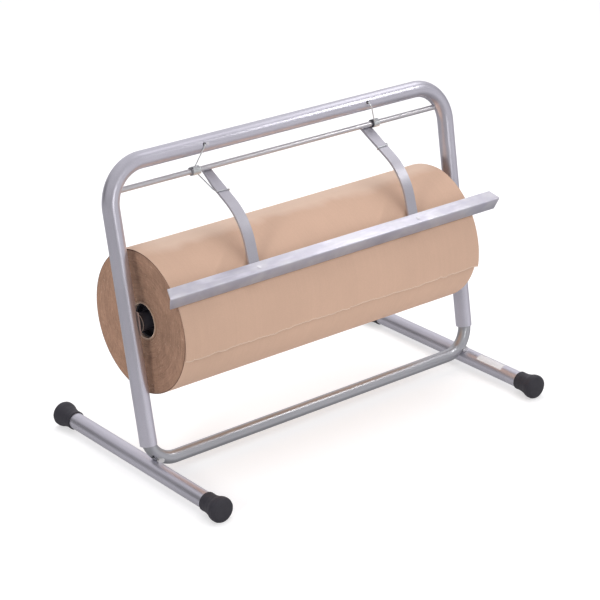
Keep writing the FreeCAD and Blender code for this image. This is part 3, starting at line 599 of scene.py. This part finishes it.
# ------------------------------------------------------------------ floor, light, camera
bpy.ops.mesh.primitive_plane_add(size=24, location=(0, 0, 0))
floor = bpy.context.object
floor.name = "floor"
floor.data.materials.append(mat("floor_white", (0.58, 0.58, 0.58), 0.9, 0.0,
                                Emission_Color=(1.0, 1.0, 1.0, 1.0), Emission_Strength=0.53))
floor.visible_glossy = False

w = bpy.data.worlds.new("studio")
bpy.context.scene.world = w
w.use_nodes = True
nt = w.node_tree
bg = nt.nodes["Background"]
tc = nt.nodes.new("ShaderNodeTexCoord")


def world_ramp(vec, stops, top):
    """Brightness by the angle to a direction: a ramp over the dot product."""
    dp = nt.nodes.new("ShaderNodeVectorMath")
    dp.operation = "DOT_PRODUCT"
    dp.inputs[1].default_value = vec
    mr = nt.nodes.new("ShaderNodeMapRange")
    mr.inputs["From Min"].default_value = -1
    mr.inputs["From Max"].default_value = 1
    rp = nt.nodes.new("ShaderNodeValToRGB")
    nt.links.new(tc.outputs["Generated"], dp.inputs[0])
    nt.links.new(dp.outputs["Value"], mr.inputs["Value"])
    nt.links.new(mr.outputs["Result"], rp.inputs["Fac"])
    el = rp.color_ramp.elements
    while len(el) < len(stops):
        el.new(0.5)
    for e, (t, v) in zip(el, stops):
        e.position = (t + 1) / 2
        e.color = (v / top * 0.985, v / top * 0.975, v / top, 1)
    return rp.outputs["Color"]


def world_add(a, b):
    n = nt.nodes.new("ShaderNodeMix")
    n.data_type = "RGBA"
    n.blend_type = "ADD"
    n.inputs["Factor"].default_value = 1.0
    sa, sb = [x for x in n.inputs if x.type == "RGBA"]
    nt.links.new(a, sa)
    nt.links.new(b, sb)
    return [x for x in n.outputs if x.type == "RGBA"][0]


def world_mul(a, b):
    n = nt.nodes.new("ShaderNodeMix")
    n.data_type = "RGBA"
    n.blend_type = "MULTIPLY"
    n.inputs["Factor"].default_value = 1.0
    sa, sb = [x for x in n.inputs if x.type == "RGBA"]
    nt.links.new(a, sa)
    nt.links.new(b, sb)
    return [x for x in n.outputs if x.type == "RGBA"][0]


TOP = 1.5
sky = world_ramp((0, 0, 1), [(-1.0, 0.21), (-0.75, 0.30), (-0.45, 0.37), (-0.22, 0.44), (-0.10, 0.42), (0.05, 0.30),
                             (0.30, 0.40), (0.55, 0.50), (0.80, 0.50), (1.0, 0.60)], TOP)
back = world_ramp((0.61, 0.74, 0.28), [(0.0, 0.0), (0.60, 0.02), (0.85, 0.16), (1.0, 0.34)], TOP)
strip = world_ramp((0.585, -0.06, 0.809), [(0.0, 0.0), (0.940, 0.0), (0.975, 0.25), (1.0, 0.74)], TOP)
front = world_ramp((0.62, -0.784, 0.0), [(0.0, 0.0), (0.66, 0.0), (0.84, 0.14), (0.93, 0.25), (1.0, 0.27)], TOP)
dark = world_ramp((-0.63, 0.745, 0.20), [(0.0, 1.0), (0.90, 1.0), (0.970, 0.38), (1.0, 0.26)], 1.0)
nt.links.new(world_mul(world_add(world_add(sky, back), world_add(strip, front)), dark), bg.inputs["Color"])
bg.inputs["Strength"].default_value = TOP


def area(name, loc, target, size, power, color=(1, 1, 1), gloss=False):
    l = bpy.data.lights.new(name, "AREA")
    l.shape = "RECTANGLE"
    l.size, l.size_y = size
    l.energy = power
    l.color = color
    o = bpy.data.objects.new(name, l)
    bpy.context.scene.collection.objects.link(o)
    o.location = loc
    o.visible_camera = False
    o.visible_glossy = gloss
    o.visible_diffuse = not gloss
    d = Vector(target) - Vector(loc)
    o.rotation_mode = "QUATERNION"
    o.rotation_quaternion = d.to_track_quat("-Z", "Y")
    return o


area("key", (0.5, -1.9, 2.5), (0, 0, 0.2), (2.2, 1.6), 14.5)
area("top", (0.3, 0.9, 2.9), (0, 0, 0.1), (3.0, 2.4), 54)
area("left", (-2.6, -1.0, 1.2), (-0.32, 0, 0.25), (0.60, 0.60), 27, (1.0, 0.985, 0.96))
# small lights that only show as reflections in the metal
area("gleam_arm", (0.765, -0.52, 1.06), (0.18, 0.0, 0.43), (0.22, 0.22), 1.0, gloss=True)
area("gleam_bar", (0.80, 0.25, 1.2), (0.05, -0.09, 0.33), (0.42, 0.30), 0.42, gloss=True)
area("gleam_legs", (-0.29, -2.6, 0.80), (0.0, 0.0, 0.45), (0.60, 0.9), 3.6, gloss=True)

cam = bpy.data.cameras.new("camera")
cam.sensor_width = 36
cam.lens = 2005.24 / 600 * 36
cam.shift_x = -0.29 / 600
cam.shift_y = -0.33 / 600
cam.clip_start, cam.clip_end = 0.1, 60
co = bpy.data.objects.new("camera", cam)
bpy.context.scene.collection.objects.link(co)
co.location = (-1.9570, -2.3696, 1.5122)
az, elv = math.radians(-39.484), math.radians(23.027)
back = Vector((math.sin(az) * math.cos(elv), -math.cos(az) * math.cos(elv), math.sin(elv)))
right = Vector((math.cos(az), math.sin(az), 0.0))
up = back.cross(right)
roll = math.radians(-0.14)
r2 = right * math.cos(roll) + up * math.sin(roll)
u2 = back.cross(r2)
rot = Matrix((r2, u2, back)).transposed()
co.rotation_mode = "QUATERNION"
co.rotation_quaternion = rot.to_quaternion()
bpy.context.scene.camera = co

sc = bpy.context.scene
sc.view_settings.view_transform = "Standard"
sc.view_settings.look = "None"
sc.view_settings.exposure = 0.0
